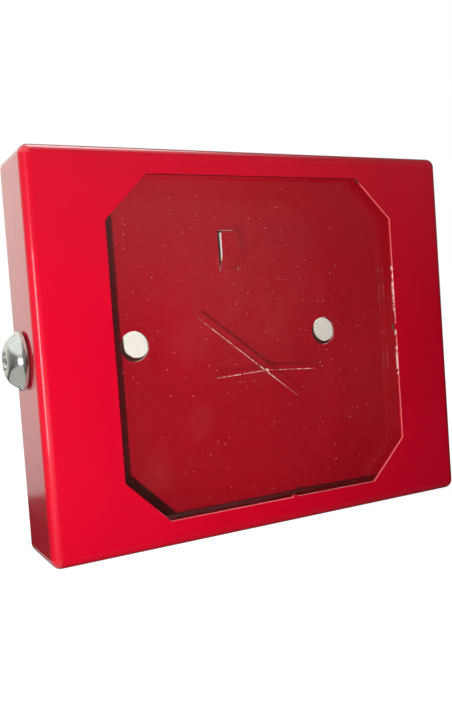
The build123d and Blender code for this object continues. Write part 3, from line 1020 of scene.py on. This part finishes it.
def fillRamp(node, stops, low, high):
    # stops run from low to high; a plain number stands for a grey
    ramp = node.color_ramp
    ramp.interpolation = "LINEAR"
    while len(ramp.elements) < len(stops):
        ramp.elements.new(0.5)
    for element, (place, tone) in zip(ramp.elements, stops):
        element.position = (place - low) / (high - low)
    for element, (place, tone) in zip(ramp.elements, stops):
        element.color = (*tone, 1) if isinstance(tone, tuple) else (tone, tone, tone, 1)


def rampNode(tree, source, stops, low, high, at):
    spread = addNode(tree, "ShaderNodeMapRange", at, {"From Min": low, "From Max": high, "Value": source})
    node = addNode(tree, "ShaderNodeValToRGB", (at[0] + 200, at[1]), {0: spread.outputs[0]})
    fillRamp(node, stops, low, high)
    return node.outputs[0]


def buildWorld(look):
    # the eye sees white; gloss and glass see a graded backdrop, each part with its own level
    world = bpy.data.worlds.new("studio")
    bpy.context.scene.world = world
    world.use_nodes = True
    tree = world.node_tree
    tree.nodes.clear()
    ray = addNode(tree, "ShaderNodeTexCoord", (-1700, 0)).outputs["Generated"]
    split = addNode(tree, "ShaderNodeSeparateXYZ", (-1500, 0), {0: ray})
    flat = addNode(tree, "ShaderNodeVectorMath", (-1500, 250), {0: ray, 1: (1, 1, 0)}, operation="MULTIPLY")
    length = addNode(tree, "ShaderNodeVectorMath", (-1300, 250), {0: flat.outputs[0]}, operation="LENGTH")
    cosine = mathNode(tree, "DIVIDE", split.outputs["Y"], length.outputs["Value"], (-1100, 200))
    left = rampNode(tree, cosine, leftLevels, -1.0, 1.0, (-900, 550))
    right = rampNode(tree, cosine, rightLevels, -1.0, 1.0, (-900, 300))
    backdrop = rampNode(tree, split.outputs["Z"], backdropTones, -0.5, 0.5, (-900, 0))
    frontShare = rampNode(tree, split.outputs["Z"], frontShares, -0.5, 0.5, (-900, -300))
    isBehind = smoothShare(tree, split.outputs["Y"], *sideTurn, (-700, -600))
    isRight = smoothShare(tree, split.outputs["X"], *sideTurn, (-700, -800))
    isHigh = smoothShare(tree, split.outputs["Z"], *highTurn, (-700, -1000))
    isLow = smoothShare(tree, split.outputs["Z"], *lowTurn, (-700, -1200))
    level = colourMix(tree, isRight, left, right, (-500, 400))
    ahead = colourMix(tree, isRight, aheadLeft, frontShare, (-500, -200))
    tone = colourMix(tree, isBehind, ahead, backdrop, (-300, 0))
    middle = colourMix(tree, 1.0, tone, level, (-100, 100), "MULTIPLY")
    ceiling = rampNode(tree, split.outputs["Z"], ceilingLevels, 0.0, 1.0, (-900, -1400))
    above = colourMix(tree, isRight, overhead, ceiling, (-100, 300))
    high = colourMix(tree, isHigh, middle, above, (50, 200))
    below = colourMix(tree, isRight, underneath, underneathRight, (50, 0))
    lit = colourMix(tree, isLow, high, below, (200, 200))
    fill = colourMix(tree, isBehind, (look["fillFront"],) * 3, (look["fillBehind"],) * 3, (-100, -300))
    path = addNode(tree, "ShaderNodeLightPath", (-300, 500))
    mirrored = mathNode(tree, "MAXIMUM", path.outputs["Is Glossy Ray"],
                        path.outputs["Is Transmission Ray"], (-100, 500))
    byRay = colourMix(tree, mirrored, fill, lit, (150, 0))
    final = colourMix(tree, path.outputs["Is Camera Ray"], byRay, (1, 1, 1), (350, 100))
    shade = addNode(tree, "ShaderNodeBackground", (550, 0), {"Color": final})
    addNode(tree, "ShaderNodeOutputWorld", (800, 0), {0: shade.outputs[0]})


def flatPanel(name, corners, material):
    mesh = bpy.data.meshes.new(name)
    mesh.from_pydata(corners, [], [(0, 1, 2, 3)])
    mesh.materials.append(material)
    panel = bpy.data.objects.new(name, mesh)
    bpy.context.collection.objects.link(panel)
    return panel


def buildFloor(look):
    # white for the eye with the box's shadow on it, unseen by gloss and glass
    half = look["floorSize"] / 2
    level = coverLow.z - look["floorDrop"]
    material, tree = newMaterial("floorPale")
    diffuse = addNode(tree, "ShaderNodeBsdfDiffuse", (0, 0), {0: (*(look["floorColour"],) * 3, 1)})
    coords = addNode(tree, "ShaderNodeTexCoord", (-600, -150)).outputs["Object"]
    away = addNode(tree, "ShaderNodeVectorMath", (-400, -150), {0: coords}, operation="LENGTH")
    fadeFrom, fadeTo = look["floorFade"]
    fade = addNode(tree, "ShaderNodeMapRange", (-200, -150), {
        "From Min": fadeFrom, "From Max": fadeTo, "To Min": look["floorGlow"],
        "Value": away.outputs["Value"],
    })
    glow = addNode(tree, "ShaderNodeEmission", (0, -150), {"Strength": fade.outputs[0]})
    both = addNode(tree, "ShaderNodeAddShader", (200, 0), {0: diffuse.outputs[0], 1: glow.outputs[0]})
    clear = addNode(tree, "ShaderNodeBsdfTransparent", (200, -250))
    path = addNode(tree, "ShaderNodeLightPath", (0, 400))
    mirrored = mathNode(tree, "MAXIMUM", path.outputs["Is Glossy Ray"],
                        path.outputs["Is Transmission Ray"], (200, 400))
    seen = addNode(tree, "ShaderNodeMixShader", (400, 0), {
        0: path.outputs["Is Camera Ray"], 1: diffuse.outputs[0], 2: both.outputs[0],
    })
    final = addNode(tree, "ShaderNodeMixShader", (600, 0), {
        0: mirrored, 1: seen.outputs[0], 2: clear.outputs[0],
    })
    addNode(tree, "ShaderNodeOutputMaterial", (800, 0), {0: final.outputs[0]})
    corners = [(-half, -half, level), (half, -half, level), (half, half, level), (-half, half, level)]
    flatPanel("floor", corners, material)


wallCard = {
    "depth": 13.0,  # mm behind the box
    "halfWidth": 55.0,
    "halfHeight": 45.0,
    "shadeFrom": 38.9,  # height above which the wall lies in shade
    "colour": (0.232, 0.224, 0.203),  # it shows as pale, since a lamp of its own lights it
    "shadeColour": (0.02, 0.01, 0.01),
}


def buildWallCard(look):
    # a scrap of white wall that only shows through the pane, behind the holes of the back plate
    material, tree = newMaterial("wallWhite")
    coords = addNode(tree, "ShaderNodeTexCoord", (-800, 0)).outputs["Object"]
    split = addNode(tree, "ShaderNodeSeparateXYZ", (-600, 0), {0: coords})
    isShaded = mathNode(tree, "GREATER_THAN", split.outputs["Z"], look["shadeFrom"] * mm, (-400, 0))
    tone = colourMix(tree, isShaded, look["colour"], look["shadeColour"], (-200, 0))
    diffuse = addNode(tree, "ShaderNodeBsdfDiffuse", (0, 0), {0: tone})
    addNode(tree, "ShaderNodeOutputMaterial", (200, 0), {0: diffuse.outputs[0]})
    level = trayHigh.y + look["depth"] * mm
    wide = look["halfWidth"] * mm
    tall = look["halfHeight"] * mm
    corners = [(-wide, level, -tall), (wide, level, -tall), (wide, level, tall), (-wide, level, tall)]
    card = flatPanel("wallCard", corners, material)
    card.visible_camera = False
    card.visible_glossy = False
    card.visible_diffuse = False
    card.visible_shadow = False
    return card


def areaLight(name, place, size, power, target):
    data = bpy.data.lights.new(name, "AREA")
    data.shape = "RECTANGLE"
    data.size, data.size_y = size
    data.energy = power
    lamp = bpy.data.objects.new(name, data)
    lamp.location = place
    direction = Vector(target) - Vector(place)
    lamp.rotation_euler = direction.to_track_quat("-Z", "Y").to_euler()
    bpy.context.collection.objects.link(lamp)
    return lamp


def pointLight(name, place, radius, power):
    data = bpy.data.lights.new(name, "POINT")
    data.energy = power
    data.shadow_soft_size = radius
    lamp = bpy.data.objects.new(name, data)
    lamp.location = place
    lamp.visible_glossy = False
    bpy.context.collection.objects.link(lamp)
    return lamp


def buildLights(look, card):
    pointLight("key", look["keyPlace"], look["keyRadius"], look["keyPower"])
    # a twin of the key that lights the scrap of wall alone
    wallKey = pointLight("wallKey", look["keyPlace"], look["keyRadius"], look["wallKeyPower"])
    lone = bpy.data.collections.new("wallOnly")
    lone.objects.link(card)
    wallKey.light_linking.receiver_collection = lone
    lamps = {}
    for name in ("low", "side", "fold", "top", "back"):
        aim = (coverLow.x, coverLow.y, 0) if name == "fold" else (0, 0, 0)
        lamps[name] = areaLight(name, look[name + "Place"], look[name + "Size"], look[name + "Power"], aim)
    for name in ("top", "back"):
        lamps[name].visible_transmission = False
    for name in ("low", "side", "back"):
        lamps[name].visible_glossy = False


view = {
    "place": (-129.15, -242.42, 7.12),  # mm
    "turn": (87.413, 4.101, -27.685),  # degrees
    "lens": 39.86,
}


def buildCamera(look):
    data = bpy.data.cameras.new("camera")
    data.lens = look["lens"]
    data.clip_start = 0.01
    camera = bpy.data.objects.new("camera", data)
    camera.location = [value * mm for value in look["place"]]
    camera.rotation_euler = [math.radians(angle) for angle in look["turn"]]
    bpy.context.collection.objects.link(camera)
    bpy.context.scene.camera = camera


buildFloor(studio)
buildWorld(studio)
buildLights(studio, buildWallCard(wallCard))
buildCamera(view)
bpy.context.scene.view_settings.view_transform = "Standard"
print("studio done")
